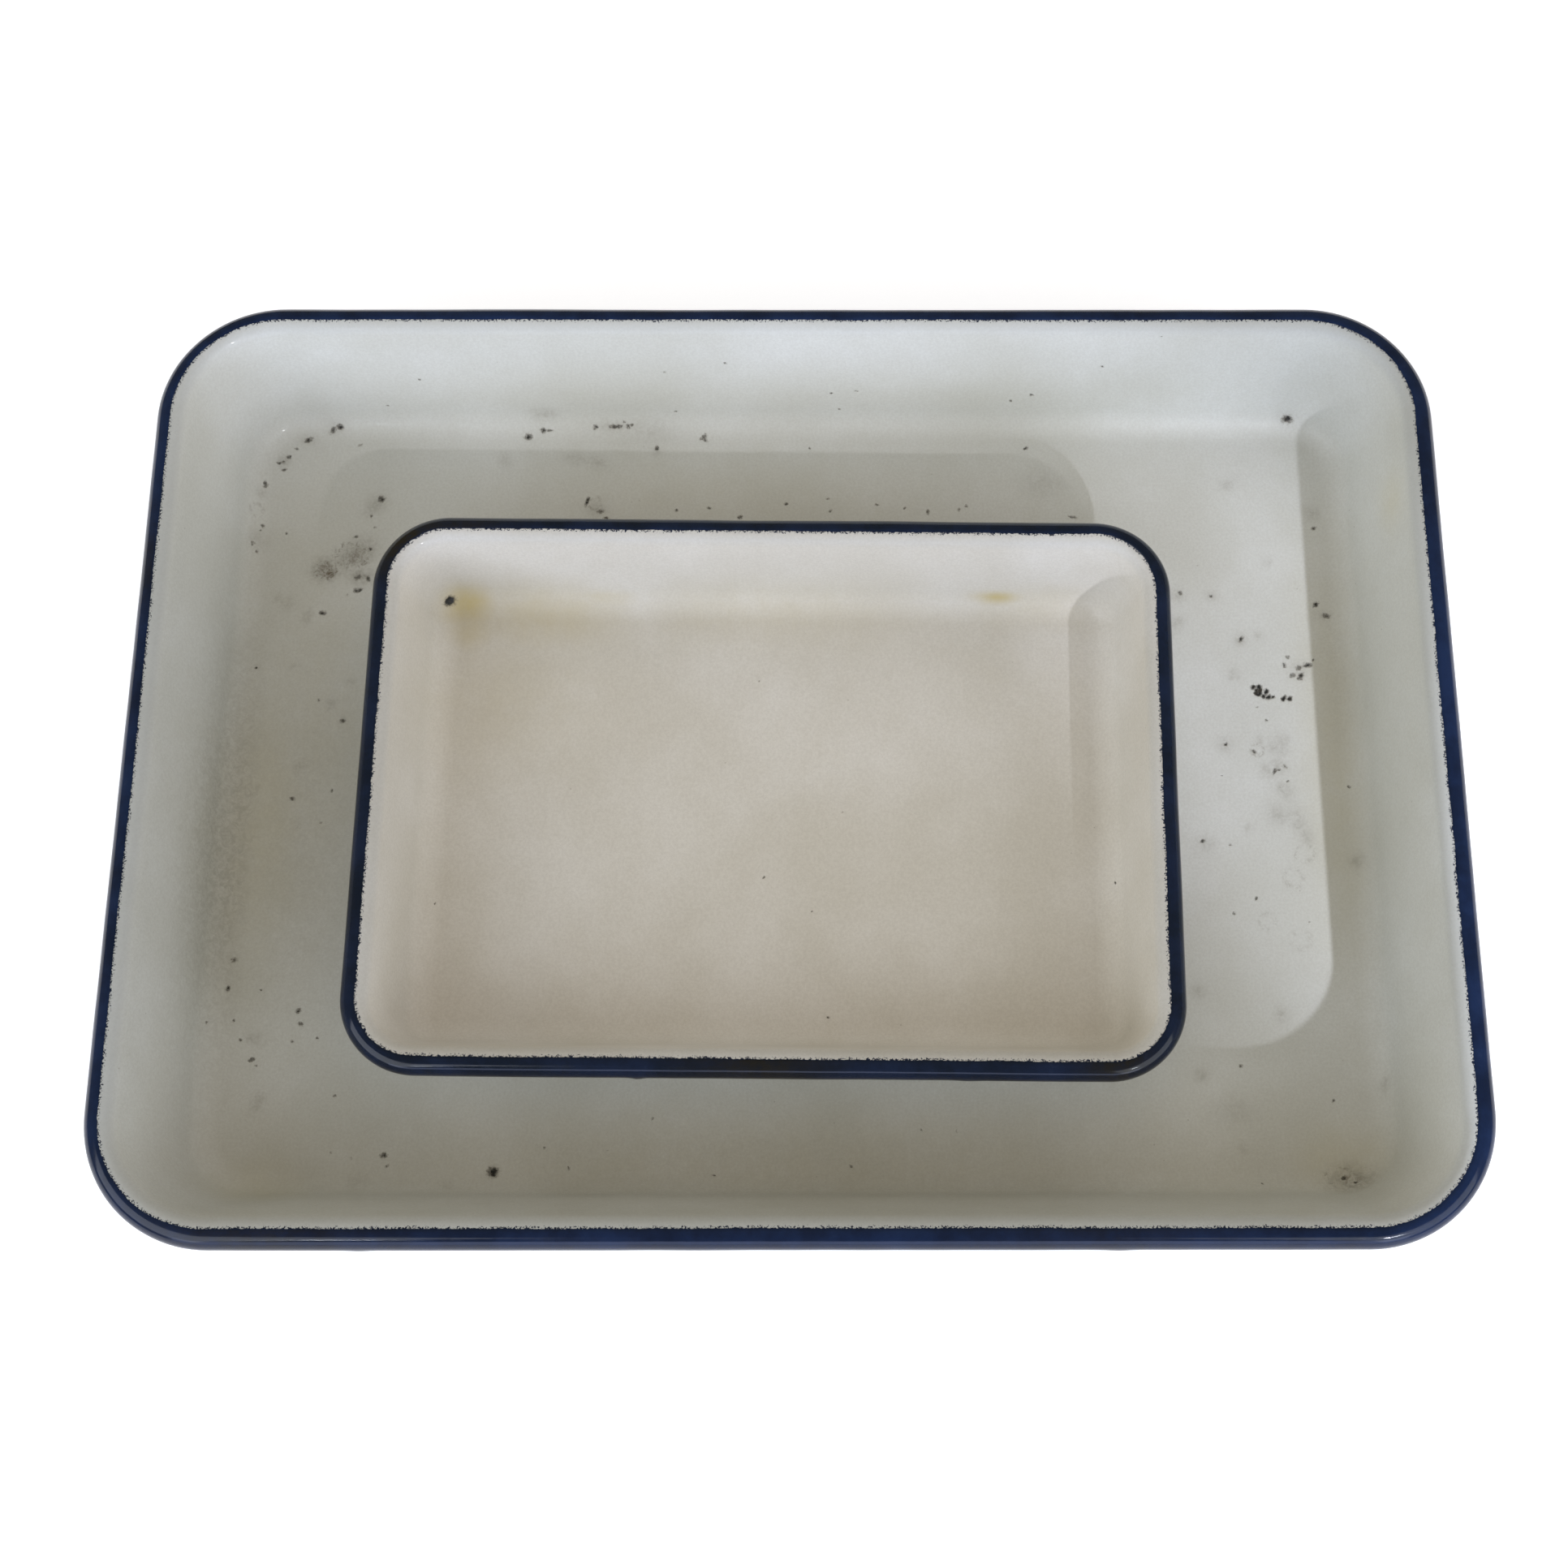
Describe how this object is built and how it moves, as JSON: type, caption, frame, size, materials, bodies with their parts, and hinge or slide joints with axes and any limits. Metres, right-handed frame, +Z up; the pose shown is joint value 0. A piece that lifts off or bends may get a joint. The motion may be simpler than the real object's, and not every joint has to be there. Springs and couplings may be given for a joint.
{
  "type": "developing tray",
  "caption": "Nested rectangular developing trays in white enamelled steel, with sloping walls, rounded corners and rolled navy rims; the smaller tray lies loose in the larger.",
  "frame": {"origin": "middle of the large tray's footprint, at the level that it stands on", "axes": "+X along the long side, +Y towards the back, +Z up"},
  "size_m": [0.4, 0.294, 0.0445],
  "materials": {
    "pan_steel": "bare pressed sheet steel, hidden under the enamel",
    "wire_steel": "drawn steel wire, hidden inside the curled rim",
    "ground_enamel": "dark fired ground coat, seen only in chips",
    "cool_white_enamel": "glossy grey-white fired enamel, worn and stained",
    "warm_white_enamel": "glossy warm white fired enamel, stained yellow at the back",
    "navy_enamel": "glossy dark navy fired enamel"
  },
  "bodies": {
    "large_tray": {"large_steel_pan": "pan_steel", "large_rim_wire": "wire_steel", "large_ground_coat": "ground_enamel", "large_inner_enamel": "cool_white_enamel", "large_outer_enamel": "cool_white_enamel", "large_rim_enamel": "navy_enamel"},
    "small_tray": {"small_steel_pan": "pan_steel", "small_rim_wire": "wire_steel", "small_ground_coat": "ground_enamel", "small_inner_enamel": "warm_white_enamel", "small_outer_enamel": "warm_white_enamel", "small_rim_enamel": "navy_enamel"}
  },
  "joints": [
    {"name": "small_tray_lift", "type": "slide", "parent": "large_tray", "child": "small_tray", "axis": [0, 0, 1], "range_m": [0, 0.06]}
  ]
}
